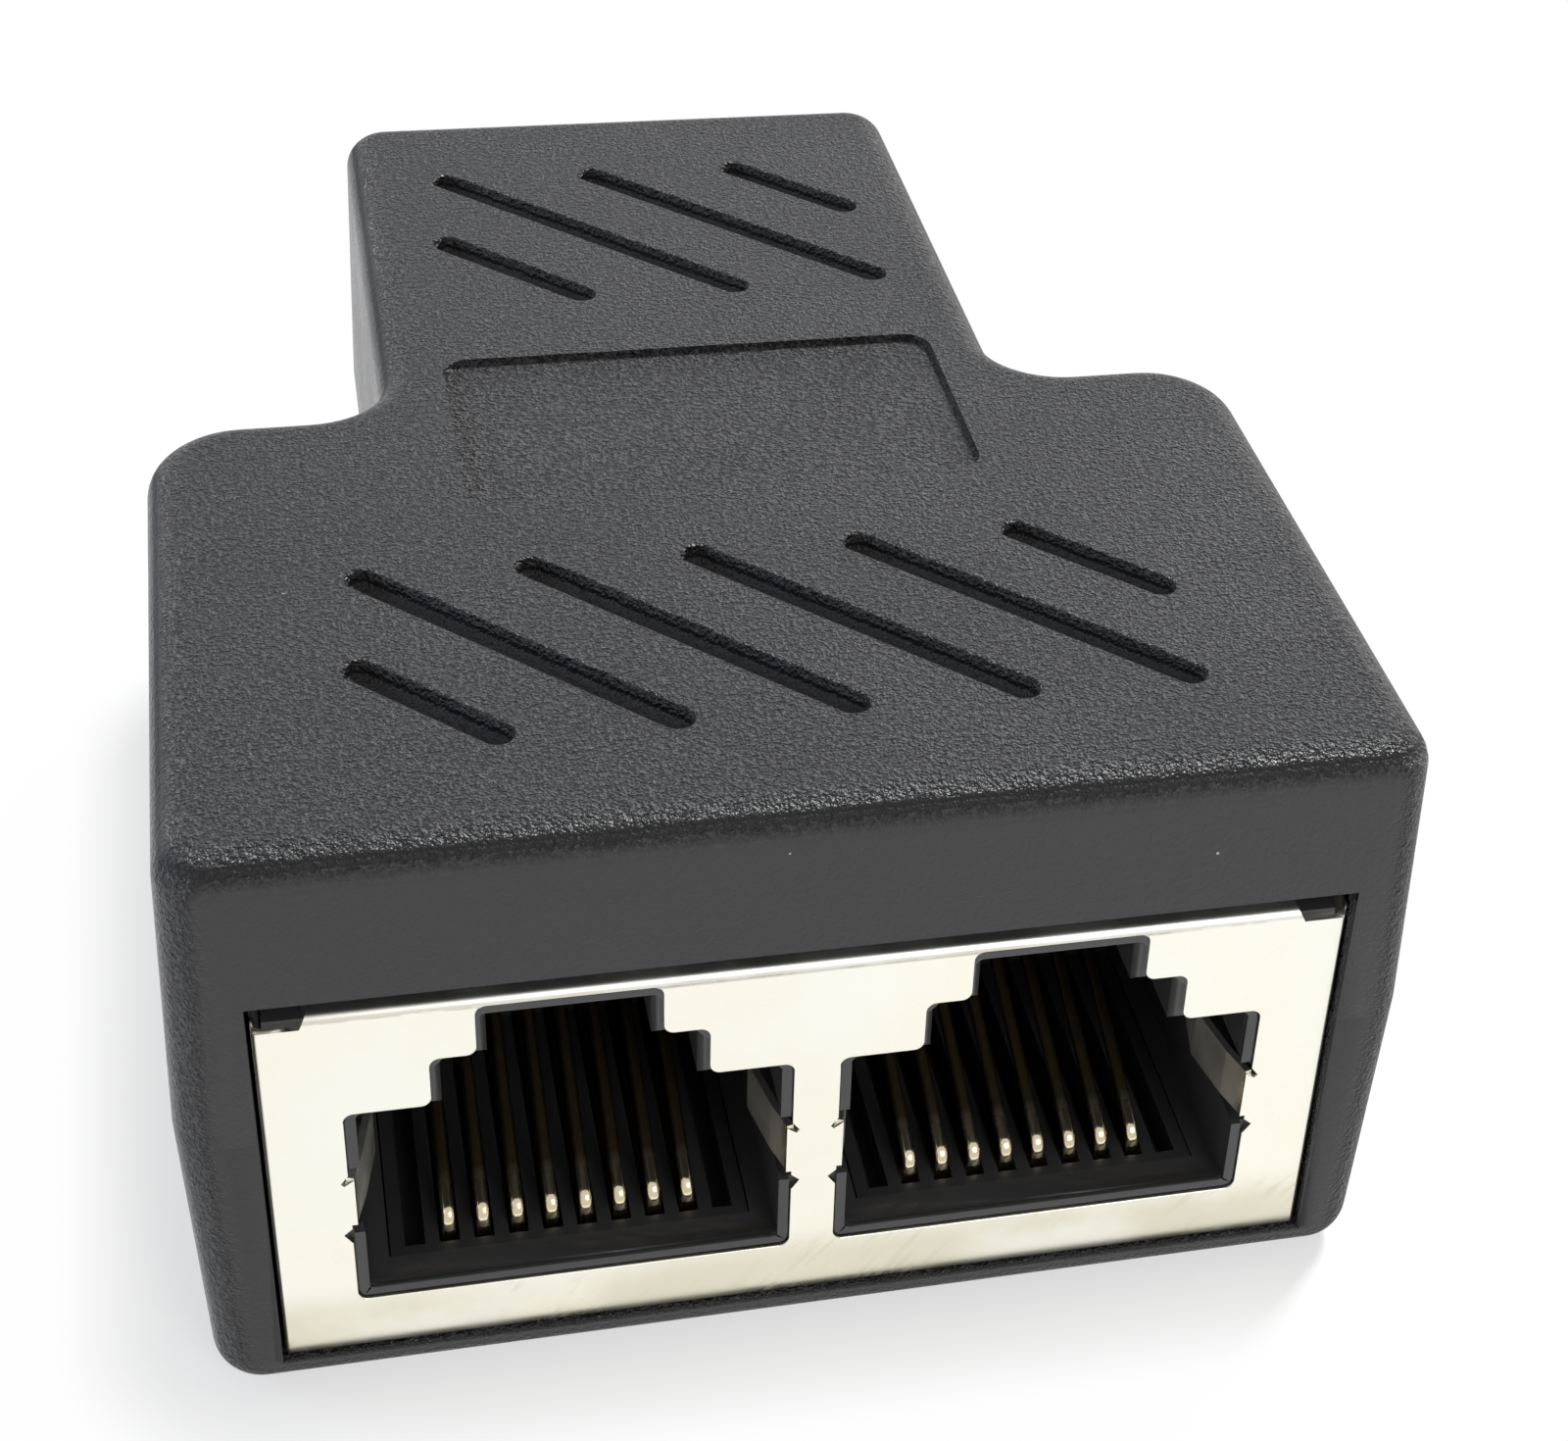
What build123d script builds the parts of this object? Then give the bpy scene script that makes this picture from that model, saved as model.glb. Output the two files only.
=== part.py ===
from build123d import *
from math import ceil, radians, tan
import os

os.makedirs("parts", exist_ok=True)

# A T-shaped network splitter: two sockets side by side in the wide end, one in the narrow end.
# Millimetres. X runs across the object, Y from the two-socket end to the single one, Z up.
# The origin is the middle of the footprint. Depths are measured from the face of a screen inwards,
# and heights in a socket from the foot of its screen.

# Mouths of the sockets: the web between two of them gives the standard pitch of ganged sockets
port_web = 1.34
contact_pitch = 1.016
contact_count = 8
slot_count = 10
opening_width = 12.63
opening_height = 7.35
step_width = 7.76
step_height = 1.71
latch_width = 5.15
latch_height = 1.74
opening_floor = 1.95
opening_corner_radius = 0.3

# Folded screens
sheet = 0.25
fold_radius = 0.45
screen_depth = 17.5
front_side_web = 2.2
rear_side_web = 1.885
screen_top_web = 0.31
flange_depth = 2.2
relief_width = 1.25
relief_height = 0.45
finger_rise = 3.08
finger_height = 1.75
finger_step = 0.16
finger_sheet = 0.22
finger_bends = ((0.3, 1.1), (0.67, 2.9), (0.35, 4.6))
slit_reach = 0.22
slit_width = 0.2
notch_reach = 0.25
notch_height = 0.75
leg_width = 1.5
leg_stand = 0.6
near_leg_depth = 5.0
far_leg_margin = 3.0

# Socket bodies
body_clearance = 0.05
body_floor = 0.75
mouth_inset = 0.3
mouth_chamfer = 0.25
mouth_lip = 0.25
pocket_margin = 0.4
back_web = 0.7
peg_radius = 1.6
peg_depth = 9.0
peg_clearance = 0.05

# Contact inserts
insert_edge = 0.44
insert_clearance = 0.05
insert_front = 1.3
insert_back_height = 7.0
comb_depth = 1.4
comb_back = 0.3
comb_above = 1.6
slot_width = 0.6
slot_front = 1.65
slot_floor = 0.25

# Contact wires
wire_width = 0.4
wire_thickness = 0.3
wire_front = 2.0
wire_rise = 0.6
wire_slope = 20.0
wire_bend = 0.55
wire_in_comb = 0.7
wire_tail = 0.8
tail_row_pitch = 2.54
tail_back_margin = 1.26
recess_gap = 0.4

# Circuit board
board_thickness = 1.2
board_end_gap = 0.2
board_post_gap = 0.6
board_side_margin = 0.5
board_narrow_margin = 0.4
tail_hole_clearance = 0.06
leg_slot_clearance = 0.2

# Housing
face_recess = 0.3
back_gap = 8.6
post_room = 3.5
head_room = 2.89
wide_side_gap = 0.77
narrow_side_gap = 0.75
side_wall = 1.6
end_wall = 1.3
top_wall = 1.5
floor_wall = 1.15
parting_height = 10.0
draft_angle = 2.0
shoulder_radius = 3.2
inner_corner_radius = 2.0
narrow_corner_radius = 1.8
front_corner_radius = 1.5
top_edge_radius = 1.2
bottom_edge_radius = 1.3
cavity_corner_radius = 1.2
window_side_gap = 0.1
window_top_gap = 0.7

# Seam, posts and ribs of the housing
tongue_height = 0.8
tongue_width = 0.7
tongue_clearance = 0.1
post_radius = 1.5
post_side_gap = 0.4
pin_radius = 0.75
pin_length = 3.0
pin_clearance = 0.05
rib_thickness = 1.0
rib_end_gap = 4.0
rib_post_gap = 1.6
rear_rib_margin = 4.35
stop_height = 5.0

# Relief on the top face
groove_width = 0.95
groove_depth = 0.5
groove_first_inset = 0.35
groove_shortest = 2.0
front_groove_margin = 5.72
front_groove_near = 4.35
front_groove_run = 8.75
front_groove_pitch = 4.93
rear_groove_margin = 3.0
rear_groove_far = 5.3
rear_groove_run = 9.8
rear_groove_pitch = 5.3
label_margin = 2.4
label_near = 16.5
label_length = 8.8
label_depth = 0.22
label_corner_radius = 0.9

# Heights and depths inside a socket
opening_top = opening_floor + opening_height
step_top = opening_top + step_height
latch_top = step_top + latch_height
screen_height = latch_top + screen_top_web
finger_foot = opening_floor + finger_rise
finger_top = finger_foot + finger_height
finger_reach = finger_bends[-1][1]
insert_floor = opening_floor + mouth_lip
slot_bottom = body_floor + slot_floor
wire_run = slot_bottom + wire_thickness / 2
wire_crest = insert_floor + wire_rise
far_tail = screen_depth - tail_back_margin
near_tail = far_tail - tail_row_pitch
recess_start = near_tail - recess_gap
socket_depth = recess_start - back_web
comb_start = socket_depth - comb_depth
wire_end = comb_start + wire_in_comb
wire_end_height = wire_crest + (wire_end - wire_front) * tan(radians(wire_slope))
comb_height = wire_end_height + comb_above
insert_width = slot_count * contact_pitch + insert_edge
leg_depths = (near_leg_depth, screen_depth - far_leg_margin)

# Outside sizes
port_pitch = opening_width + port_web
front_screen_width = port_pitch + opening_width + 2 * front_side_web
rear_screen_width = opening_width + 2 * rear_side_web
length = 2 * (face_recess + screen_depth) + back_gap
wide_length = face_recess + screen_depth + post_room + side_wall
wide_width = front_screen_width + 2 * (wide_side_gap + side_wall)
narrow_width = rear_screen_width + 2 * (narrow_side_gap + side_wall)
board_bottom = floor_wall + screen_height
board_top = board_bottom + board_thickness
ceiling = board_top + head_room
height = ceiling + top_wall

# Places in the housing
front_face = -length / 2
rear_face = length / 2
shoulder = front_face + wide_length
window_top = board_bottom + window_top_gap
post_y = shoulder - side_wall - post_room / 2
post_x = wide_width / 2 - side_wall - post_side_gap - post_radius
posts = ((post_x, post_y), (-post_x, post_y))
front_rib_half = post_x - post_radius - rib_post_gap
rear_rib_half = narrow_width / 2 - rear_rib_margin
front_ports = (-port_pitch / 2, port_pitch / 2)
rear_ports = (0,)

# A port plane has its origin at the foot of a screen's face, X across, Y up and Z out of the socket
front_port = Plane(origin=(0, front_face + face_recess, floor_wall), x_dir=(1, 0, 0), z_dir=(0, -1, 0))
rear_port = Plane(origin=(0, rear_face - face_recess, floor_wall), x_dir=(-1, 0, 0), z_dir=(0, 1, 0))


def side_plane(port, x):
    """The upright plane through x across the port, with its X axis running into the socket."""
    return Plane(origin=port.origin + port.x_dir * x, x_dir=-port.z_dir, z_dir=port.x_dir)


def level_plane(port, rise):
    """The level plane at a height above the screen's foot, with its Y axis running into the socket."""
    return Plane(origin=port.origin + port.y_dir * rise, x_dir=port.x_dir, z_dir=port.y_dir)


def housing_outline(inset, front, back, rounds):
    """The T seen from above, drawn in by an inset between its own front and back lines."""
    half_wide = wide_width / 2 - inset
    half_narrow = narrow_width / 2 - inset
    step = shoulder - inset
    with BuildSketch() as outline:
        with BuildLine():
            sides = FilletPolyline(
                (half_wide, front), (half_wide, step), (half_narrow, step), (half_narrow, back),
                (-half_narrow, back), (-half_narrow, step), (-half_wide, step), (-half_wide, front),
                radius=rounds + rounds[::-1],
            )
            Line(sides @ 1, sides @ 0)
        make_face()
    return outline.sketch


def cavity_outline(shift):
    """The inside of the housing seen from above, or the line a little way into its walls."""
    rounds = [cavity_corner_radius + shift, inner_corner_radius, cavity_corner_radius + shift]
    return housing_outline(side_wall - shift, front_face + end_wall - shift, rear_face - end_wall + shift,
                           rounds)


def housing_form(rise):
    """One drafted half of the outside, grown up or down from the parting plane, with a flat front."""
    spare = 2 * end_wall
    with BuildSketch(Plane.XY.offset(parting_height)) as base:
        add(housing_outline(0, front_face - spare, rear_face,
                            [shoulder_radius, inner_corner_radius, narrow_corner_radius]))
    extrude(base.sketch, amount=rise, taper=draft_angle)
    split(bisect_by=Plane.XZ.offset(-front_face), keep=Keep.BOTTOM)


def cut_window(port, half_width):
    """Cuts the rectangle that shows a screen through the end wall of the housing."""
    with BuildSketch(port.offset(face_recess)) as window:
        with Locations((0, (window_top - floor_wall) / 2)):
            Rectangle(2 * (half_width + window_side_gap), window_top - floor_wall)
    extrude(window.sketch, amount=-(end_wall + face_recess), mode=Mode.SUBTRACT)


def groove_ends(half, far, run, pitch):
    """End points of parallel 45 degree grooves that are clipped to one rectangle."""
    ends = []
    for i in range(-ceil(run / pitch), ceil(2 * half / pitch)):
        start = -half + groove_first_inset + i * pitch
        left = max(start, -half)
        right = min(start + run, half)
        if right - left > groove_shortest:
            ends.append(((left, far - (left - start)), (right, far - (right - start))))
    return ends


def port_opening(x, grow, foot):
    """The stepped outline of one socket's mouth, grown on all sides, standing on its own foot."""
    half, step, latch = (w / 2 + grow for w in (opening_width, step_width, latch_width))
    with BuildSketch() as mouth:
        with BuildLine():
            Polyline(
                (x - half, foot), (x + half, foot), (x + half, opening_top + grow),
                (x + step, opening_top + grow), (x + step, step_top + grow),
                (x + latch, step_top + grow), (x + latch, latch_top + grow),
                (x - latch, latch_top + grow), (x - latch, step_top + grow),
                (x - step, step_top + grow), (x - step, opening_top + grow),
                (x - half, opening_top + grow), close=True,
            )
        make_face()
    return mouth.sketch


def contact_offsets(count):
    """Places of a row of contacts or slots about the middle of a socket."""
    return [(i - (count - 1) / 2) * contact_pitch for i in range(count)]


def tail_depth(number):
    """Depth of a contact's tail: odd and even contacts stand in two rows."""
    return far_tail if number % 2 else near_tail


def peg_places(ports):
    """Places of the pegs across a port plane: one beyond each end socket's latch channel."""
    reach = step_width / 2 + peg_radius
    return (min(ports) - reach, max(ports) + reach)


# Upper half of the housing
with BuildPart() as top_shell:
    housing_form(height - parting_height)
    sides = top_shell.faces().sort_by(Axis.Y)[0].edges().sort_by(Axis.X)
    fillet([sides[0], sides[-1]], front_corner_radius)
    fillet(top_shell.faces().sort_by(Axis.Z)[-1].edges(), top_edge_radius)
    with BuildSketch(Plane.XY.offset(parting_height)):
        add(cavity_outline(0))
    extrude(amount=ceiling - parting_height, mode=Mode.SUBTRACT)
    # the rebate that takes the lower half's tongue
    with BuildSketch(Plane.XY.offset(parting_height)):
        add(cavity_outline(tongue_width + tongue_clearance))
    extrude(amount=tongue_height + tongue_clearance, mode=Mode.SUBTRACT)
    cut_window(front_port, front_screen_width / 2)
    cut_window(rear_port, rear_screen_width / 2)
    # ribs that press on the board
    with BuildSketch(Plane.XY.offset(board_top)):
        with Locations((0, front_face + face_recess + rib_end_gap)):
            Rectangle(2 * front_rib_half, rib_thickness)
        with Locations((0, rear_face - face_recess - rib_end_gap), (0, shoulder - side_wall)):
            Rectangle(2 * rear_rib_half, rib_thickness)
    extrude(amount=ceiling - board_top)
    # posts with pins that enter the lower half's sockets
    with BuildSketch(Plane.XY.offset(parting_height)):
        with Locations(*posts):
            Circle(post_radius)
    extrude(amount=ceiling - parting_height)
    with BuildSketch(Plane.XY.offset(parting_height)):
        with Locations(*posts):
            Circle(pin_radius)
    extrude(amount=-pin_length)
    # label field and the slanted grooves on the top face
    with BuildSketch(Plane.XY.offset(height)):
        with Locations((0, front_face + label_near + label_length / 2)):
            RectangleRounded(narrow_width - 2 * label_margin, label_length, label_corner_radius)
    extrude(amount=-label_depth, mode=Mode.SUBTRACT)
    grooves = groove_ends(wide_width / 2 - front_groove_margin,
                          front_face + front_groove_near + front_groove_run, front_groove_run,
                          front_groove_pitch)
    grooves += groove_ends(narrow_width / 2 - rear_groove_margin, rear_face - rear_groove_far,
                           rear_groove_run, rear_groove_pitch)
    with BuildSketch(Plane.XY.offset(height)):
        for start, end in grooves:
            run = Vector(*end) - Vector(*start)
            with Locations((Vector(*start) + Vector(*end)) / 2):
                SlotOverall(run.length, groove_width, rotation=-45)
    extrude(amount=-groove_depth, mode=Mode.SUBTRACT)
top_shell.part.label = "top_shell"
export_step(top_shell.part, "parts/top_shell.step")

# Lower half of the housing
with BuildPart() as bottom_shell:
    housing_form(-parting_height)
    sides = bottom_shell.faces().sort_by(Axis.Y)[0].edges().sort_by(Axis.X)
    fillet([sides[0], sides[-1]], front_corner_radius)
    fillet(bottom_shell.faces().sort_by(Axis.Z)[0].edges(), bottom_edge_radius)
    with BuildSketch(Plane.XY.offset(parting_height)):
        add(cavity_outline(0))
    extrude(amount=floor_wall - parting_height, mode=Mode.SUBTRACT)
    # the tongue that enters the upper half
    with BuildSketch(Plane.XY.offset(parting_height)):
        add(cavity_outline(tongue_width))
        add(cavity_outline(0), mode=Mode.SUBTRACT)
    extrude(amount=tongue_height)
    cut_window(front_port, front_screen_width / 2)
    cut_window(rear_port, rear_screen_width / 2)
    # ribs that stop the sockets from sliding inwards
    with BuildSketch(Plane.XY.offset(floor_wall)):
        with Locations((0, front_face + face_recess + screen_depth + rib_thickness / 2)):
            Rectangle(2 * front_rib_half, rib_thickness)
        with Locations((0, rear_face - face_recess - screen_depth - rib_thickness / 2)):
            Rectangle(2 * rear_rib_half, rib_thickness)
    extrude(amount=stop_height)
    # posts with blind sockets for the upper half's pins
    with BuildSketch(Plane.XY.offset(floor_wall)):
        with Locations(*posts):
            Circle(post_radius)
    extrude(amount=parting_height - floor_wall)
    with BuildSketch(Plane.XY.offset(parting_height)):
        with Locations(*posts):
            Circle(pin_radius + pin_clearance)
    extrude(amount=-(pin_length + pin_clearance), mode=Mode.SUBTRACT)
bottom_shell.part.label = "bottom_shell"
export_step(bottom_shell.part, "parts/bottom_shell.step")


def make_screen(port, ports, width):
    """A folded sheet round one row of sockets: face, floor, sides and back, with springs and legs."""
    half = width / 2
    with BuildPart() as screen:
        with BuildSketch(port) as outside:
            with Locations((0, screen_height / 2)):
                Rectangle(width, screen_height)
        extrude(outside.sketch, amount=-screen_depth)
        face_edges = screen.faces().sort_by(Axis(port.origin, port.z_dir))[-1].edges()
        foot_edges = screen.faces().sort_by(Axis.Z)[0].edges().filter_by(Axis.Y)
        fillet(face_edges + foot_edges, fold_radius)
        with BuildSketch(port.offset(-sheet)) as inside:
            with Locations((0, screen_height / 2)):
                Rectangle(width - 2 * sheet, screen_height - 2 * sheet)
        extrude(inside.sketch, amount=-(screen_depth - 2 * sheet), mode=Mode.SUBTRACT)
        # the top is open behind the flange
        with BuildSketch(level_plane(port, screen_height)) as top:
            with Locations((0, (flange_depth + screen_depth - sheet) / 2)):
                Rectangle(width - 2 * sheet, screen_depth - sheet - flange_depth)
        extrude(top.sketch, amount=-2 * sheet, mode=Mode.SUBTRACT)
        # stepped openings
        for x in ports:
            with BuildSketch(port) as mouth:
                add(port_opening(x, 0, opening_floor))
                fillet(mouth.vertices(), opening_corner_radius)
            extrude(mouth.sketch, amount=-2 * sheet, mode=Mode.SUBTRACT)
        # fold reliefs beside the upper flange
        with BuildSketch(port) as reliefs:
            for side in (-1, 1):
                outer = side * (half - sheet)
                inner = side * (half - sheet - relief_width)
                with BuildLine():
                    Polyline((outer, screen_height), (outer, screen_height - relief_height),
                             (inner + side * relief_height / 2, screen_height - relief_height),
                             (inner, screen_height), close=True)
                make_face()
        extrude(reliefs.sketch, amount=-flange_depth, mode=Mode.SUBTRACT)
        # roots of the spring fingers, a step inside the openings
        edges = [(x + side * opening_width / 2, side) for x in ports for side in (-1, 1)]
        with BuildSketch(port) as roots:
            for edge, side in edges:
                with Locations((edge - side * finger_step / 2, finger_foot + finger_height / 2)):
                    Rectangle(finger_step, finger_height)
        extrude(roots.sketch, amount=-sheet)
        # a slanted slit above each root and a notch below it
        with BuildSketch(port) as nicks:
            for edge, side in edges:
                inner = edge - side * finger_step
                outer = edge + side * slit_reach
                with BuildLine():
                    Polyline((inner, finger_top), (inner, finger_top + slit_width),
                             (edge, finger_top + slit_width), (outer, finger_top - slit_width / 2),
                             (outer - side * slit_width / 2, finger_top - slit_width), close=True)
                make_face()
                with BuildLine():
                    Polyline((inner, finger_foot), (inner, finger_foot - notch_height),
                             (edge, finger_foot - notch_height),
                             (edge + side * notch_reach, finger_foot - notch_height / 2), close=True)
                make_face()
        extrude(nicks.sketch, amount=-sheet, mode=Mode.SUBTRACT)
        # spring fingers, bent into the openings
        for edge, side in edges:
            root = edge - side * (finger_step - finger_sheet / 2)
            with BuildSketch(level_plane(port, finger_foot)) as finger:
                with BuildLine():
                    Polyline((root, sheet / 2), *((root - side * inward, back)
                                                  for inward, back in finger_bends))
                trace(line_width=finger_sheet)
            extrude(finger.sketch, amount=finger_height)
        # legs that pass through the board
        with BuildSketch(level_plane(port, screen_height)) as legs:
            for depth in leg_depths:
                with Locations((half - sheet / 2, depth), (-half + sheet / 2, depth)):
                    Rectangle(sheet, leg_width)
        extrude(legs.sketch, amount=board_thickness + leg_stand)
    return screen.part


def make_body(port, ports, width):
    """A moulded block behind one screen, with stepped sockets, spring pockets and insert seats."""
    half = width / 2 - sheet - body_clearance
    top = screen_height - sheet
    back = screen_depth - sheet
    with BuildPart() as body:
        with BuildSketch(port.offset(-sheet)) as block:
            with Locations((0, (sheet + top) / 2)):
                Rectangle(2 * half, top - sheet)
        extrude(block.sketch, amount=-(back - sheet))
        with BuildSketch(port.offset(-sheet)) as sockets:
            for x in ports:
                add(port_opening(x, -mouth_inset, insert_floor))
        extrude(sockets.sketch, amount=-(socket_depth - sheet), mode=Mode.SUBTRACT)
        rims = body.faces().sort_by(Axis(port.origin, port.z_dir))[-1].inner_wires()
        chamfer([edge for rim in rims for edge in rim.edges()], mouth_chamfer)
        for x in ports:
            # pockets that let the springs flex
            with BuildSketch(level_plane(port, finger_foot - pocket_margin)) as pockets:
                with Locations((x, sheet + finger_reach / 2)):
                    Rectangle(opening_width + 2 * sheet, finger_reach + 2 * sheet)
            extrude(pockets.sketch, amount=finger_height + 2 * pocket_margin, mode=Mode.SUBTRACT)
            # seat of the contact insert, open to the back
            with BuildSketch(side_plane(port, x)) as seat:
                with BuildLine():
                    Polyline((insert_front, body_floor), (back, body_floor), (back, screen_height),
                             (recess_start, screen_height), (recess_start, comb_height),
                             (socket_depth, comb_height), (socket_depth, insert_floor),
                             (insert_front, insert_floor), close=True)
                make_face()
            extrude(seat.sketch, amount=insert_width / 2 + insert_clearance, both=True, mode=Mode.SUBTRACT)
        # pegs that locate the board
        with BuildSketch(level_plane(port, top)) as pegs:
            with Locations(*((x, peg_depth) for x in peg_places(ports))):
                Circle(peg_radius)
        extrude(pegs.sketch, amount=sheet + board_thickness)
    return body.part


def make_wire(port, x, number):
    """One stamped contact: up through the board, forward under the floor and back up in the socket."""
    tail = tail_depth(number)
    with BuildLine(side_plane(port, x)) as path:
        hidden = Polyline((tail, screen_height + board_thickness + wire_tail), (tail, wire_run),
                          (wire_front, wire_run))
        FilletPolyline(hidden @ 1, (wire_front, wire_crest), (wire_end, wire_end_height),
                       radius=wire_bend)
    with BuildPart() as wire:
        with BuildSketch(Plane(origin=path.line @ 0, x_dir=port.x_dir, z_dir=path.line % 0)) as section:
            Rectangle(wire_width, wire_thickness)
        sweep(section.sketch, path=path.line, transition=Transition.RIGHT)
    return wire.part


def make_insert(port, x, wires):
    """The comb that carries one socket's contacts: slotted floor, comb wall and a back block."""
    back = screen_depth - sheet
    comb_top = comb_height - insert_clearance
    with BuildPart() as insert:
        with BuildSketch(side_plane(port, x)) as profile:
            with BuildLine():
                Polyline((insert_front, body_floor), (back, body_floor), (back, insert_back_height),
                         (recess_start, insert_back_height), (recess_start, comb_top),
                         (comb_start, comb_top), (comb_start, insert_floor),
                         (insert_front, insert_floor), close=True)
            make_face()
        extrude(profile.sketch, amount=insert_width / 2, both=True)
        slot_back = socket_depth - comb_back
        with BuildSketch(side_plane(port, x)) as channel:
            with BuildLine():
                Polyline((slot_front, slot_bottom), (slot_back, slot_bottom), (slot_back, comb_height),
                         (comb_start, comb_height), (comb_start, insert_floor),
                         (slot_front, insert_floor), close=True)
            make_face()
        slot = extrude(channel.sketch, amount=slot_width / 2, both=True, mode=Mode.PRIVATE)
        for place in contact_offsets(slot_count):
            add(slot.moved(Location(port.x_dir * place)), mode=Mode.SUBTRACT)
        add(wires, mode=Mode.SUBTRACT)
    return insert.part


# Folded screens
with BuildPart() as front_screen:
    add(make_screen(front_port, front_ports, front_screen_width))
front_screen.part.label = "front_screen"
export_step(front_screen.part, "parts/front_screen.step")

with BuildPart() as rear_screen:
    add(make_screen(rear_port, rear_ports, rear_screen_width))
rear_screen.part.label = "rear_screen"
export_step(rear_screen.part, "parts/rear_screen.step")

# Socket bodies
with BuildPart() as front_socket_body:
    add(make_body(front_port, front_ports, front_screen_width))
front_socket_body.part.label = "front_socket_body"
export_step(front_socket_body.part, "parts/front_socket_body.step")

with BuildPart() as rear_socket_body:
    add(make_body(rear_port, rear_ports, rear_screen_width))
rear_socket_body.part.label = "rear_socket_body"
export_step(rear_socket_body.part, "parts/rear_socket_body.step")

# Contacts and the inserts that hold them, socket by socket
sockets = (
    ("front_left", front_port, front_ports[0]),
    ("front_right", front_port, front_ports[1]),
    ("rear", rear_port, rear_ports[0]),
)
for name, port, middle in sockets:
    wires = []
    for number, place in enumerate(contact_offsets(contact_count), start=1):
        with BuildPart() as contact:
            add(make_wire(port, middle + place, number))
        contact.part.label = f"{name}_contact_{number}"
        export_step(contact.part, f"parts/{name}_contact_{number}.step")
        wires.append(contact.part)
    with BuildPart() as contact_insert:
        add(make_insert(port, middle, wires))
    contact_insert.part.label = f"{name}_contact_insert"
    export_step(contact_insert.part, f"parts/{name}_contact_insert.step")

# Circuit board that joins the sockets, lying on both screens
with BuildPart() as circuit_board:
    wide_end = front_face + end_wall + board_end_gap
    board_shoulder = post_y - post_radius - board_post_gap
    board_width = front_screen_width - 2 * board_side_margin
    board_narrow_width = rear_screen_width - 2 * board_narrow_margin
    with BuildSketch(Plane.XY.offset(board_bottom)):
        with Locations((0, wide_end)):
            Rectangle(board_width, board_shoulder - wide_end, align=(Align.CENTER, Align.MIN))
            Rectangle(board_narrow_width, -2 * wide_end, align=(Align.CENTER, Align.MIN))
        for port, ports, width in (
            (front_port, front_ports, front_screen_width), (rear_port, rear_ports, rear_screen_width),
        ):
            across, inward = port.x_dir, -port.z_dir
            # solder closes each hole round its tail
            for x in ports:
                for number, place in enumerate(contact_offsets(contact_count), start=1):
                    with Locations(port.origin + across * (x + place) + inward * tail_depth(number)):
                        Rectangle(wire_width + tail_hole_clearance, wire_thickness + tail_hole_clearance,
                                  mode=Mode.SUBTRACT)
            for x in peg_places(ports):
                with Locations(port.origin + across * x + inward * peg_depth):
                    Circle(peg_radius + peg_clearance, mode=Mode.SUBTRACT)
            for side in (-1, 1):
                for depth in leg_depths:
                    with Locations(port.origin + across * side * (width - sheet) / 2 + inward * depth):
                        Rectangle(sheet + leg_slot_clearance, leg_width + leg_slot_clearance,
                                  mode=Mode.SUBTRACT)
    extrude(amount=board_thickness)
circuit_board.part.label = "circuit_board"
export_step(circuit_board.part, "parts/circuit_board.step")
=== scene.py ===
from math import copysign, hypot, radians

import bpy
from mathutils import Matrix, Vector


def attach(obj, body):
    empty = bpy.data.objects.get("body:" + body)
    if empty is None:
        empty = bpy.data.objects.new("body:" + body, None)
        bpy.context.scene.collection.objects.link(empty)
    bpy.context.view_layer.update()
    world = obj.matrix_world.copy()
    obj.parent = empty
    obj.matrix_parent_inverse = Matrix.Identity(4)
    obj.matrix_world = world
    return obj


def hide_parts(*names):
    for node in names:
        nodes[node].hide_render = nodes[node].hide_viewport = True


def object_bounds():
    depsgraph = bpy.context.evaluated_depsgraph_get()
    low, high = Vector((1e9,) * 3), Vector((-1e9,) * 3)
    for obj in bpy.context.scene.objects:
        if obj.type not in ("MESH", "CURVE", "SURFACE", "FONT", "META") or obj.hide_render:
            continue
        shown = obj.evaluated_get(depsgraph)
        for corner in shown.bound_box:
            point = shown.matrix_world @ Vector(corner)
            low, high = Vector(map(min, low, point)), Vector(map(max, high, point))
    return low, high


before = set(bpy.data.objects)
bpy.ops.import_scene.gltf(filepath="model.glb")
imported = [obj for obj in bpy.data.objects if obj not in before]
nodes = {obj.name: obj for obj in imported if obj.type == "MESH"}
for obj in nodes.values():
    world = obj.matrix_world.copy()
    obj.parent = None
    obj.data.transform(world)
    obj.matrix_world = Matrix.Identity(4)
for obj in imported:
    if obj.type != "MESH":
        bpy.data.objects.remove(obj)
cad_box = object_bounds()


# Contacts: stamped phosphor bronze wires with a gold skin, eight to a socket. Each lies in a slot of
# its insert, bends up behind the mouth and slopes back to the comb, and its tail is soldered in the board.

class Value:
    """A number that changes over a surface. Sums and products with it add Math nodes."""

    def __init__(self, graph, socket):
        self.graph = graph
        self.socket = socket

    def math(self, operation, *values):
        return self.graph.node("ShaderNodeMath", {"operation": operation}, dict(enumerate(values)))

    def at_least(self, other):
        return self.math("MAXIMUM", self, other)

    def __add__(self, other):
        return self.math("ADD", self, other)

    def __sub__(self, other):
        return self.math("SUBTRACT", self, other)

    def __rsub__(self, other):
        return self.math("SUBTRACT", other, self)

    def __mul__(self, other):
        return self.math("MULTIPLY", self, other)

    def __abs__(self):
        return self.math("ABSOLUTE", self)

    def __gt__(self, other):
        return self.math("GREATER_THAN", self, other)

    def __lt__(self, other):
        return self.math("LESS_THAN", self, other)

    __radd__ = __add__
    __rmul__ = __mul__


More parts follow.
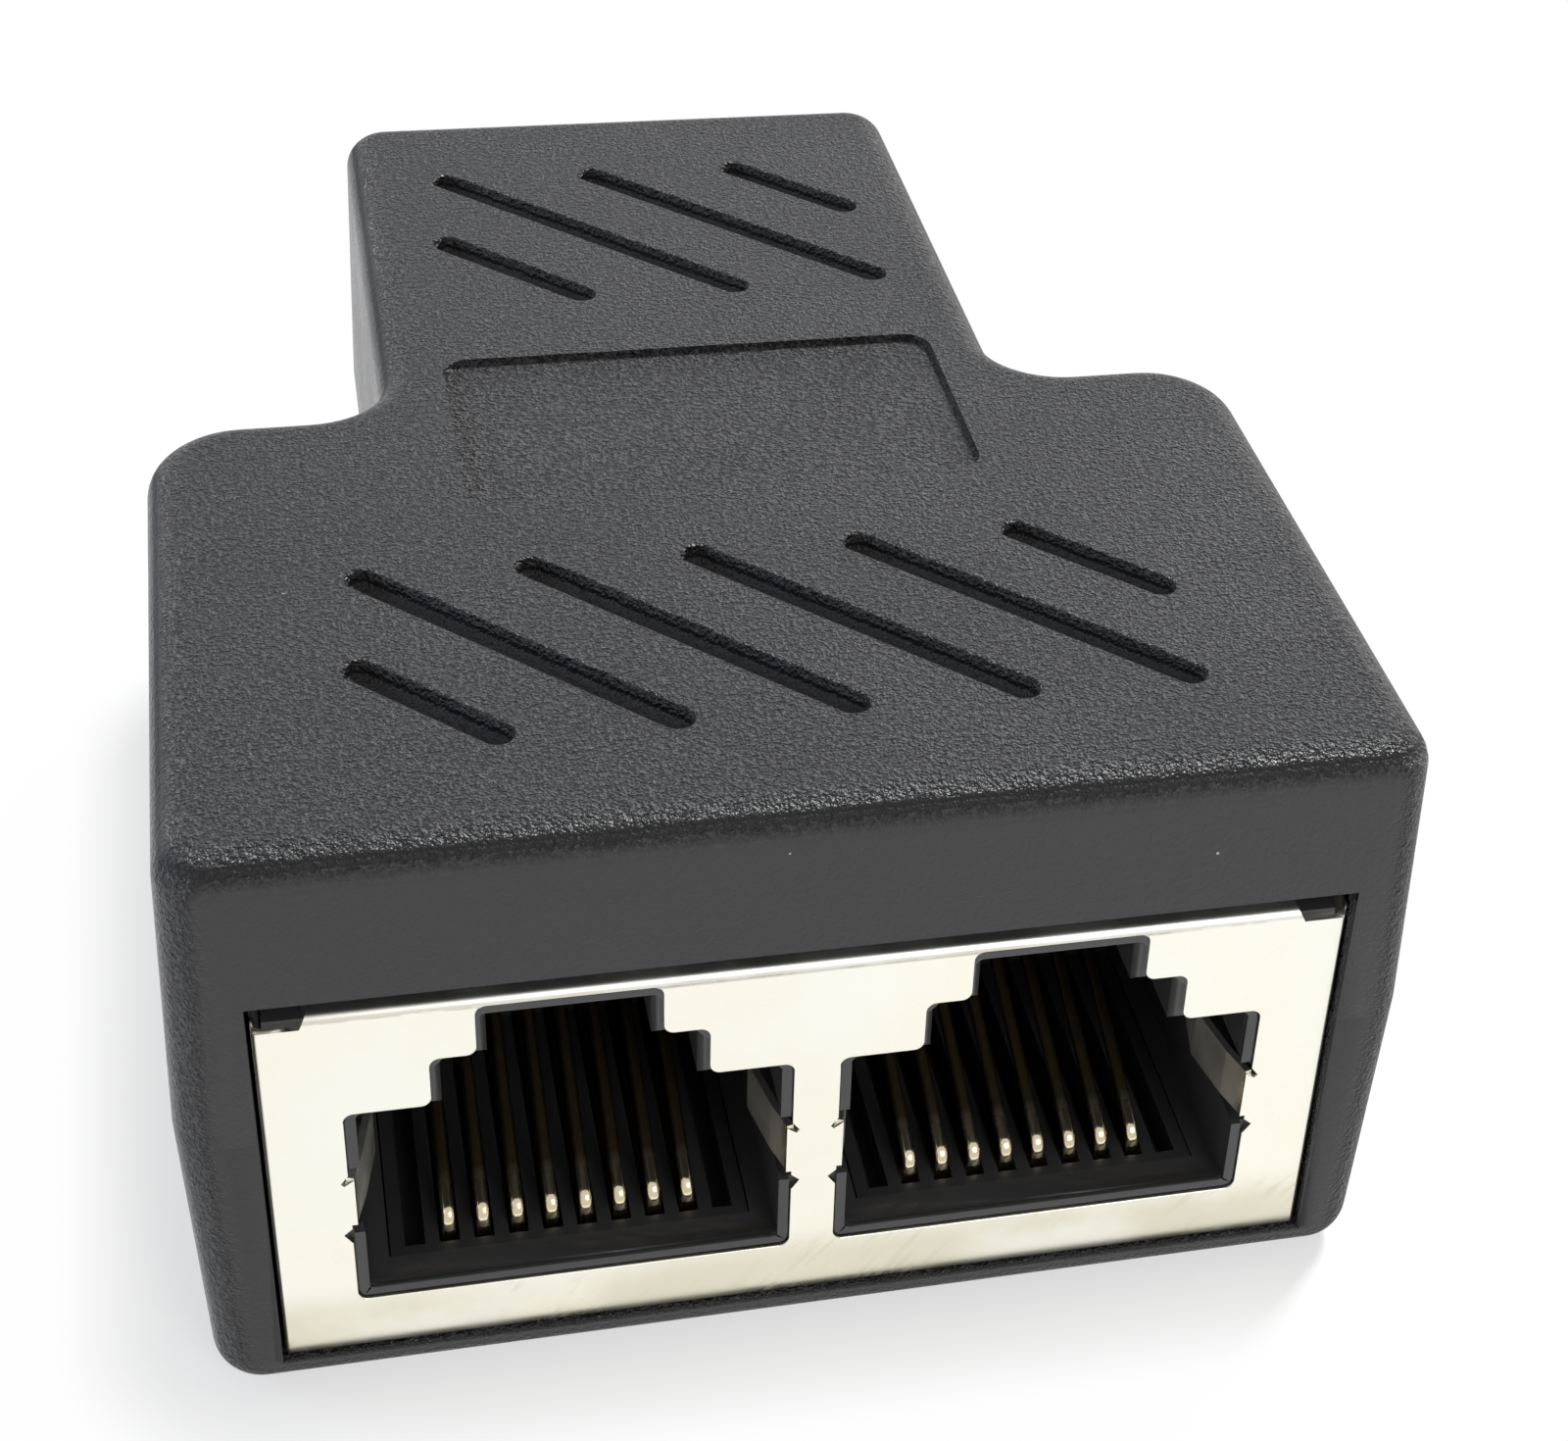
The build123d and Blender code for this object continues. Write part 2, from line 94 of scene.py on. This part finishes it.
class Nodes:
    """The nodes of one material or of the surroundings."""

    def __init__(self, tree):
        self.tree = tree

    def node(self, kind, settings=(), values=(), output=0):
        """Adds one node: its settings first, then a value or a link for each socket."""
        made = self.tree.nodes.new(kind)
        for name, setting in dict(settings).items():
            setattr(made, name, setting)
        for name, value in dict(values).items():
            self.feed(made.inputs[name], value)
        return Value(self, made.outputs[output])

    def feed(self, socket, value):
        """Links a value to a socket, or sets the socket to a number, colour or vector."""
        if isinstance(value, Value):
            self.tree.links.new(value.socket, socket)
        elif isinstance(value, tuple) and socket.type == "RGBA":
            socket.default_value = (*value, 1)
        else:
            socket.default_value = value


class Finish(Nodes):
    """A material for some pieces. Its patterns are in millimetres of the object."""

    def __init__(self, name, **settings):
        self.material = bpy.data.materials.new(name)
        self.material.use_nodes = True
        super().__init__(self.material.node_tree)
        self.shader = self.tree.nodes["Principled BSDF"]
        self.give(**settings)
        self.place = self.node("ShaderNodeTexCoord", output="Object")

    def give(self, **settings):
        """Sets or links sockets of the shader, named in small letters with underscores."""
        for name, value in settings.items():
            self.feed(self.shader.inputs[name.replace("_", " ").title().replace("Ior", "IOR")], value)

    def part(self, vector, axis):
        """One component of a vector, X, Y or Z."""
        return self.node("ShaderNodeSeparateXYZ", values={"Vector": vector}, output=axis)

    def noise(self, size, detail=2.0, roughness=0.5, stretch=(1, 1, 1), turn=(0, 0, 0)):
        """Cloudy pattern whose patches are about size millimetres across, stretched along turned axes."""
        place = self.node("ShaderNodeMapping", {"vector_type": "TEXTURE"}, {
            "Vector": self.place, "Scale": stretch, "Rotation": [radians(angle) for angle in turn]})
        return self.node("ShaderNodeTexNoise", values={
            "Vector": place, "Scale": 1000 / size, "Detail": detail, "Roughness": roughness})

    def blend(self, share, low, high):
        """Colour that goes from low to high with the share."""
        return self.node("ShaderNodeMix", {"data_type": "RGBA"}, {0: share, 6: low, 7: high}, output=2)

    def ramp(self, value, start, end, low=0.0, high=1.0):
        """Smooth step from low to high as the value goes from start to end."""
        return self.node("ShaderNodeMapRange", {"interpolation_type": "SMOOTHSTEP"}, {
            "Value": value, "From Min": start, "From Max": end, "To Min": low, "To Max": high})

    def bump(self, height, depth):
        """Relief of the given depth in millimetres on the shader's normal."""
        self.give(normal=self.node("ShaderNodeBump", values={"Height": height, "Distance": depth / 1000}))

    def on(self, *pieces):
        for piece in pieces:
            piece.data.materials.clear()
            piece.data.materials.append(self.material)


def activate(piece):
    """Leaves edit mode and makes one piece the only selected one."""
    if bpy.context.mode != "OBJECT":
        bpy.ops.object.mode_set(mode="OBJECT")
    bpy.ops.object.select_all(action="DESELECT")
    piece.select_set(True)
    bpy.context.view_layer.objects.active = piece


def edit(piece, kind):
    """Opens one piece for editing by its vertices, edges or faces, with nothing selected."""
    activate(piece)
    bpy.ops.object.mode_set(mode="EDIT")
    bpy.ops.mesh.select_mode(type=kind)
    bpy.ops.mesh.select_all(action="DESELECT")


def choose(piece, kind, test, turn=None):
    """Opens a piece and selects the edges or faces whose corners all pass a test in millimetres.

    With a turn in degrees, only edges at which the faces turn by more than that are taken.
    """
    edit(piece, kind)
    if turn:
        bpy.ops.mesh.edges_select_sharp(sharpness=radians(turn))
    bpy.ops.object.mode_set(mode="OBJECT")
    mesh = piece.data
    passed = [test(vertex.co * 1000) for vertex in mesh.vertices]
    items = mesh.edges if kind == "EDGE" else mesh.polygons
    chosen = [(item.select or not turn) and all(passed[number] for number in item.vertices)
              for item in items]
    for group in (mesh.vertices, mesh.edges, mesh.polygons):
        group.foreach_set("select", [False] * len(group))
    items.foreach_set("select", chosen)
    bpy.ops.object.mode_set(mode="EDIT")


def joined_copy(node, name, whole=lambda point: True):
    """The form of a CAD node with its loose triangles joined.

    Flat faces whose corners all pass the test are made whole.
    """
    piece = bpy.data.objects.new(name, nodes[node].data.copy())
    bpy.context.scene.collection.objects.link(piece)
    edit(piece, "VERT")
    bpy.ops.mesh.select_all(action="SELECT")
    bpy.ops.mesh.remove_doubles(threshold=1e-6)
    choose(piece, "FACE", whole)
    bpy.ops.mesh.dissolve_limited(angle_limit=radians(0.5))
    bpy.ops.object.mode_set(mode="OBJECT")
    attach(piece, "root")
    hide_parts(node)
    return piece


sharp_turn = 40


def round_edges(piece, radius, steps, test=lambda point: True):
    """Rounds the sharp edges whose ends pass the test. Millimetres."""
    choose(piece, "EDGE", test, turn=sharp_turn)
    bpy.ops.mesh.bevel(offset=radius / 1000, segments=steps, affect="EDGES", clamp_overlap=False,
                       loop_slide=False)
    bpy.ops.object.mode_set(mode="OBJECT")


def smooth_faces(piece):
    """Shades curved faces smooth and leaves flat faces flat."""
    activate(piece)
    bpy.ops.object.shade_smooth_by_angle(angle=radians(sharp_turn))
    even = piece.modifiers.new("even_normals", "WEIGHTED_NORMAL")
    even.keep_sharp = True
    bpy.ops.object.modifier_apply(modifier=even.name)


screen_face = 21.8
shade_from_depth = 2.5
shade_full_depth = 3.4
tip_radius = 0.135

gold = Finish("gold_plating", metallic=1.0)
depth = screen_face - abs(gold.part(gold.place, "Y") * 1000)
# painted shade: behind the bend, deeper in the socket, the wires are painted dark brown where little of
# the mouth's light reaches, and they grow rougher there
painted_shade_inside = gold.ramp(depth, shade_from_depth, shade_full_depth)
rubbed = gold.noise(0.4, detail=3.0)
gold.give(
    base_color=gold.blend(painted_shade_inside, gold.blend(rubbed, (0.96, 0.80, 0.52), (1.0, 0.90, 0.68)),
                          gold.blend(rubbed, (0.11, 0.08, 0.045), (0.17, 0.12, 0.065))),
    roughness=gold.ramp(depth, shade_from_depth, shade_full_depth, 0.14, 0.38))
for socket in ("front_left", "front_right", "rear"):
    for number in range(1, 9):
        node = f"{socket}_contact_{number}"
        wire = joined_copy(node, f"{node}_plated")
        round_edges(wire, tip_radius, 4)
        smooth_faces(wire)
        gold.on(wire)


# Contact inserts: combs of black polyester that hold the wires apart. They slide in from the back of
# the socket body and carry ten slots, of which the outer two stay empty.

comb_plastic = Finish("comb_plastic", roughness=0.46)
comb_plastic.give(base_color=comb_plastic.blend(
    comb_plastic.noise(1.6, detail=4.0), (0.030, 0.030, 0.031), (0.042, 0.042, 0.043)))
comb_plastic.bump(comb_plastic.noise(0.12, detail=3.0), 0.006)
comb_plastic.on(*(nodes[f"{socket}_contact_insert"] for socket in ("front_left", "front_right", "rear")))


# Socket bodies: black polyester blocks moulded with the stepped sockets, the pockets for the springs and
# the seats of the inserts. A raised rim round each mouth stands in the opening of the screen.

socket_plastic = Finish("socket_plastic", roughness=0.36)
socket_plastic.give(base_color=socket_plastic.blend(
    socket_plastic.noise(2.4, detail=4.0), (0.050, 0.050, 0.051), (0.068, 0.068, 0.069)))
socket_plastic.bump(socket_plastic.noise(0.16, detail=3.0), 0.006)
for socket in ("front", "rear"):
    body = joined_copy(f"{socket}_socket_body", f"{socket}_socket_moulding")
    smooth_faces(body)
    socket_plastic.on(body)

port_offset = 6.985
spring_gap = (5.78, 8.33)
near = 0.01
rim_recess = 0.09
rim_height = 0.16
rim_width = 0.30
rim_corner = 0.22
rim_edge = 0.05
step_halves = (6.27, 3.835, 2.53)
step_levels = (3.15, 10.40, 12.11, 13.85)


def extrude(along):
    """Extrudes what is selected by a vector in millimetres."""
    bpy.ops.mesh.extrude_region_move(TRANSFORM_OT_translate={"value": [part / 1000 for part in along]})


# the lowest step of the mouth is a rectangle, and the narrower steps grow up from its upper edge
bpy.ops.object.select_all(action="DESELECT")
bpy.ops.mesh.primitive_plane_add(size=0.001, rotation=(radians(90), 0, 0))
rim = bpy.context.object
bpy.ops.object.transform_apply()
edit(rim, "FACE")
bpy.ops.mesh.select_all(action="SELECT")
step_height = step_levels[1] - step_levels[0]
bpy.ops.transform.resize(value=(2 * step_halves[0], 1, step_height), center_override=(0, 0, 0))
bpy.ops.transform.translate(
    value=(0, (rim_recess - screen_face) / 1000, (step_levels[0] + step_height / 2) / 1000))
for half in step_halves[1:]:
    for side in (-1, 1):
        bpy.ops.mesh.select_all(action="SELECT")
        bpy.ops.mesh.bisect(plane_co=(side * half / 1000, 0, 0), plane_no=(1, 0, 0))
for half, low, high in zip(step_halves[1:], step_levels[1:], step_levels[2:]):
    choose(rim, "EDGE", lambda point: abs(point.x) < half + near and abs(point.z - low) < near)
    extrude((0, 0, high - low))
bpy.ops.mesh.select_mode(type="FACE")
bpy.ops.mesh.select_all(action="SELECT")
bpy.ops.mesh.dissolve_faces(use_verts=True)
bpy.ops.mesh.bevel(offset=rim_corner / 1000, segments=3, affect="VERTICES")

# only a border of the outline is kept and given its height, and it is open where the springs pass
bpy.ops.mesh.select_all(action="SELECT")
bpy.ops.mesh.inset(thickness=rim_width / 1000)
bpy.ops.mesh.delete(type="FACE")
bpy.ops.mesh.select_all(action="SELECT")
extrude((0, rim_height, 0))
for level in spring_gap:
    bpy.ops.mesh.select_all(action="SELECT")
    bpy.ops.mesh.bisect(plane_co=(0, 0, level / 1000), plane_no=(0, 0, 1))
choose(rim, "FACE", lambda point: spring_gap[0] - near < point.z < spring_gap[1] + near)
bpy.ops.mesh.delete(type="FACE")
bpy.ops.mesh.select_mode(type="EDGE")
bpy.ops.mesh.select_non_manifold()
bpy.ops.mesh.fill_holes(sides=4)
bpy.ops.mesh.select_all(action="SELECT")
bpy.ops.mesh.normals_make_consistent(inside=False)
round_edges(rim, rim_edge, 2, lambda point: min(abs(point.z - level) for level in spring_gap) > near)
smooth_faces(rim)
for name, place, turn in (("front_left_mouth_rim", -port_offset, 0),
                          ("front_right_mouth_rim", port_offset, 0),
                          ("rear_mouth_rim", 0, 180)):
    copied = bpy.data.objects.new(name, rim.data.copy())
    bpy.context.scene.collection.objects.link(copied)
    copied.location.x = place / 1000
    copied.rotation_euler.z = radians(turn)
    activate(copied)
    bpy.ops.object.transform_apply()
    socket_plastic.on(copied)
    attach(copied, "root")
bpy.data.objects.remove(rim)


# Screens: tin-bronze sheet with bright nickel, folded round each row of sockets. The spring fingers are
# bent in from the sides of the openings, and legs on the upper edges go through the board.

fold_radius = 0.45
tight_fold = 0.14
screen_foot = 1.15
screen_height = 13.06
opening_reach = 6.6
finger_reach = 6.25
finger_depth = 0.3
cut_edge = 0.035
crest = screen_foot + screen_height - 0.32

nickel = Finish("nickel_plate", metallic=1.0)
depth = screen_face - abs(nickel.part(nickel.place, "Y") * 1000)
level = nickel.part(nickel.place, "Z") * 1000
inside = nickel.ramp(depth, 0.1, 0.5)
cloud = nickel.ramp(nickel.noise(4.0, detail=5.0, roughness=0.6), 0.38, 0.62)
strokes = nickel.noise(0.28, detail=2.0, stretch=(1, 1, 7), turn=(0, 40, 0))
patches = nickel.ramp(nickel.noise(3.2, detail=4.0, roughness=0.6), 0.48, 0.62)
scuffed = nickel.ramp(level, 3.6, 2.8) * patches * nickel.ramp(strokes, 0.50, 0.64)
broken = nickel.ramp(nickel.noise(0.9, detail=3.0), 0.46, 0.56)
# painted shade: a faint broken grey line is painted along the lower edge of the upper fold, where its
# curve begins
painted_fold_shade = nickel.ramp(abs(level - crest), 0.05, 0.02) * broken
scuffs_and_fold_shade = scuffed.at_least(0.7 * painted_fold_shade)
# patchy colour, darker and yellower towards the foot of the screen
darker_foot_patches = nickel.ramp(nickel.noise(6.0, detail=4.0), 0.36, 0.56, 0.3, 0.9)
darker_foot_patches = nickel.ramp(level, 4.0, 2.4) * darker_foot_patches
face = nickel.blend(cloud, (1.0, 0.97, 0.84), (1.0, 1.0, 0.91))
face = nickel.blend(scuffs_and_fold_shade, face, (0.82, 0.79, 0.66))
face = nickel.blend(darker_foot_patches, face, (0.78, 0.74, 0.58))
# painted shade: the crest of the upper fold is painted dark grey, for the shade under the window's top
# edge and a painted reflection of the dark housing above it
face = nickel.blend(nickel.ramp(level, crest + 0.12, crest + 0.26), face, (0.16, 0.16, 0.16))
nickel.give(
    base_color=nickel.blend(inside, face, nickel.blend(cloud, (0.74, 0.73, 0.68), (0.90, 0.89, 0.84))),
    roughness=nickel.ramp(cloud, 0.0, 1.0, 0.27, 0.33) + 0.12 * scuffed + 0.16 * inside)
nickel.bump(nickel.noise(5.0, detail=1.0), 0.01)


def tighten_folds(screen):
    """Gives the sides and the foot of the face a smaller fold than the upper edge has."""
    points = [vertex.co * 1000 for vertex in screen.data.vertices]
    half = max(point.x for point in points)
    side = copysign(1, sum(point.y for point in points))
    for vertex, point in zip(screen.data.vertices, points):
        # how far the point is past the starts of the folds
        reaches = (abs(point.x) - (half - fold_radius),
                   screen_foot + fold_radius - point.z,
                   side * point.y - (screen_face - fold_radius))
        outwards = reaches[0]
        upwards = max(point.z - (screen_foot + screen_height - fold_radius), 0)
        beside, below, before = (reach > -0.001 for reach in reaches)
        past = [reach for reach in reaches if reach > -0.001]
        if len(past) < 2 or hypot(*past, upwards) < fold_radius - near:
            continue
        tight = [reach * tight_fold / fold_radius - tight_fold for reach in reaches]
        if beside:
            vertex.co.x = copysign(half + tight[0], point.x) / 1000
        if below:
            vertex.co.z = (screen_foot - tight[1]) / 1000
        if before and (below or outwards > 0.001):
            share = 1 if below else outwards / hypot(outwards, upwards)
            vertex.co.y = (point.y + share * (side * (screen_face + tight[2]) - point.y)) / 1000


for socket, ports in (("front", (-port_offset, port_offset)), ("rear", (0,))):
    screen = joined_copy(f"{socket}_screen", f"{socket}_plated_screen")
    tighten_folds(screen)
    round_edges(screen, cut_edge, 2, lambda point: (
        abs(abs(point.y) - screen_face) < near
        and min(abs(point.x - port) for port in ports) < opening_reach
        and not spring_gap[0] < point.z < spring_gap[1]))
    # the bends of the fingers stay crisp
    choose(screen, "EDGE", lambda point: (
        abs(point.y) < screen_face - finger_depth
        and min(abs(point.x - port) for port in ports) < finger_reach))
    bpy.ops.mesh.mark_sharp()
    smooth_faces(screen)
    nickel.on(screen)


# Circuit board: glass-filled epoxy under a lacquer painted near-black, as painted shade where the board
# shows in the gap above the screen. It lies upside down on both screens, and the contacts' tails and the
# screens' legs are soldered in its holes.

shade_black_lacquer = Finish("board_painted_shade", roughness=0.34)
weave = shade_black_lacquer.node("ShaderNodeTexWave", {"wave_type": "BANDS", "bands_direction": "X"},
                     {"Vector": shade_black_lacquer.place, "Scale": 480, "Distortion": 1.2})
shade_black_lacquer.give(base_color=shade_black_lacquer.blend(
    0.6 * shade_black_lacquer.noise(3.0, detail=3.0) + 0.4 * weave, (0.010, 0.013, 0.011), (0.020, 0.026, 0.022)))
shade_black_lacquer.bump(weave, 0.01)
shade_black_lacquer.on(nodes["circuit_board"])


# Housing: two halves of black styrene plastic, with draft up and down from the seam between them. The
# tool's spark-eroded grain covers all but the face of the wide end, which is nearly smooth.

front_face = cad_box[0][1] * 1000
rear_face = cad_box[1][1] * 1000
top_face = cad_box[1][2] * 1000
seam = 10.0
groove_floor = top_face - 0.5
groove_round = 0.40
label_floor = top_face - 0.22
label_round = 0.10
label_half = 8.2
label_near, label_far = -5.65, 3.25
rim_round = 0.09
smooth_band = 0.24

housing = Finish("grained_housing")
along = housing.part(housing.place, "Y") * 1000
level = housing.part(housing.place, "Z") * 1000
facing = housing.node("ShaderNodeNewGeometry", output="Normal")
sideways = housing.ramp(abs(housing.part(facing, "X")), 0.75, 0.95)
hollow = housing.ramp(level, groove_floor + 0.26, groove_floor + 0.12) * (level > groove_floor - 0.02)
grained = housing.ramp(along, front_face, front_face + smooth_band, 0.04, 1.0)
grained = grained * housing.ramp(along, rear_face, rear_face - smooth_band, 0.04, 1.0)
grained = grained * (1 - 0.7 * hollow) * (1 - 0.65 * sideways)
relief = housing.noise(0.18, detail=2.0, roughness=0.55) + 0.4 * housing.noise(0.09, detail=1.0)
housing.bump(relief * grained, 0.48)
patch = housing.noise(6.0, detail=4.0)
# the grain's valleys are painted darker and its peaks lighter: partly dirt and wear, partly painted shade
# in the valleys and painted highlights on the peaks
pit_dirt_and_shade = housing.ramp(relief, 0.70, 0.58) * grained
peak_wear_and_highlight = housing.ramp(relief, 0.70, 0.84) * grained
dusty = housing.node("ShaderNodeTexVoronoi", values={"Vector": housing.place, "Scale": 1000 / 3.4},
                     output="Distance") < 0.014
colour = housing.blend(patch, (0.026, 0.026, 0.028), (0.034, 0.034, 0.036))
colour = housing.blend(pit_dirt_and_shade, colour, (0.010, 0.010, 0.011))
colour = housing.blend(peak_wear_and_highlight, colour, (0.075, 0.075, 0.079))
# painted shade: the floors of the grooves are painted near-black
colour = housing.blend(hollow, colour, (0.006, 0.006, 0.007))
housing.give(
    base_color=housing.blend(dusty, colour, (0.45, 0.45, 0.44)),
    roughness=housing.ramp(patch, 0.3, 0.7, 0.38, 0.46) - 0.20 * sideways + 0.15 * hollow)
for half in ("bottom", "top"):
    shell = joined_copy(f"{half}_shell", f"{half}_shell_moulding", lambda point: abs(point.z - seam) > 1.0)
    if half == "top":
        round_edges(shell, groove_round, 5, lambda point: abs(point.z - groove_floor) < near)
        round_edges(shell, label_round, 3, lambda point: abs(point.z - label_floor) < near)
        round_edges(shell, rim_round, 3, lambda point: abs(point.z - top_face) < near and not (
            abs(point.x) < label_half and label_near < point.y < label_far))
    smooth_faces(shell)
    housing.on(shell)


# Stage: a pale floor that is shaded only close to the object, where a painted shadow darkens it, a key
# lamp high at the right, a weaker one in front and a small cool one low at the left. From below the floor
# is clear.

shade_halves = (("X", 15), ("Y", 19))
shade_start, shade_end = 6, 56

bpy.ops.object.select_all(action="DESELECT")
bpy.ops.mesh.primitive_plane_add(size=4, location=(0, 0, 0))
floor = bpy.context.object
floor.name = "floor"
paper = Finish("pale_floor", base_color=(0.92, 0.92, 0.92), roughness=0.9, specular_ior_level=0.0)
sight = paper.node("ShaderNodeLightPath", output="Is Camera Ray")
mirrored = paper.node("ShaderNodeLightPath", output="Is Glossy Ray")
# painted shadow: the floor is painted darker near the object, and whitens with the square of the distance
# from a box round the object's foot
across, away = ((abs(paper.part(paper.place, axis)) * 1000 - half).at_least(0.0)
                for axis, half in shade_halves)
whiteness = paper.ramp(across * across + away * away, shade_start, shade_end, 0.60, 0.985)
shadowed = Value(paper, paper.shader.outputs["BSDF"])
white = paper.node("ShaderNodeEmission", values={"Color": (1.0, 1.0, 1.0), "Strength": 1.0})
above = paper.node("ShaderNodeMixShader", values={
    0: sight * whiteness + 0.96 * mirrored, 1: shadowed, 2: white})
surface = paper.node("ShaderNodeMixShader", values={
    0: paper.node("ShaderNodeNewGeometry", output="Backfacing"), 1: above,
    2: paper.node("ShaderNodeBsdfTransparent")})
paper.feed(paper.tree.nodes["Material Output"].inputs["Surface"], surface)
paper.on(floor)


def soft_lamp(name, place, size, power, colour=(1.0, 1.0, 1.0)):
    """A square lamp at a place in metres that points at the object."""
    turn = (Vector((0, 0, 0.01)) - Vector(place)).to_track_quat("-Z", "Y").to_euler()
    bpy.ops.object.light_add(type="AREA", location=place, rotation=turn)
    lamp = bpy.context.object
    lamp.name = name
    lamp.data.size = size
    lamp.data.energy = power
    lamp.data.color = colour


soft_lamp("key_lamp", (0.22, 0.20, 0.26), 0.10, 2.6)
soft_lamp("front_lamp", (0.10, -0.30, 0.24), 0.12, 0.33)
soft_lamp("left_lamp", (-0.30, 0.10, 0.09), 0.10, 0.36, (0.66, 0.78, 1.0))

world = bpy.context.scene.world or bpy.data.worlds.new("surroundings")
bpy.context.scene.world = world
world.use_nodes = True
air = Nodes(world.node_tree)
sight = air.node("ShaderNodeLightPath", output="Is Camera Ray")
mirrored = air.node("ShaderNodeLightPath", output="Is Glossy Ray")
glow = air.tree.nodes["Background"]
air.feed(glow.inputs["Color"], (1.0, 1.0, 1.0))
air.feed(glow.inputs["Strength"], 0.36 + 0.64 * sight + 0.26 * mirrored)

bpy.ops.object.camera_add(location=(-0.012890, -0.080952, 0.067068),
                          rotation=[radians(angle) for angle in (54.269, -3.493, -13.184)])
camera = bpy.context.object
camera.data.lens = 66.136
camera.data.shift_x = -0.120
camera.data.shift_y = -0.0170
camera.data.clip_start = 0.004
bpy.context.scene.camera = camera
bpy.context.scene.view_settings.view_transform = "Standard"
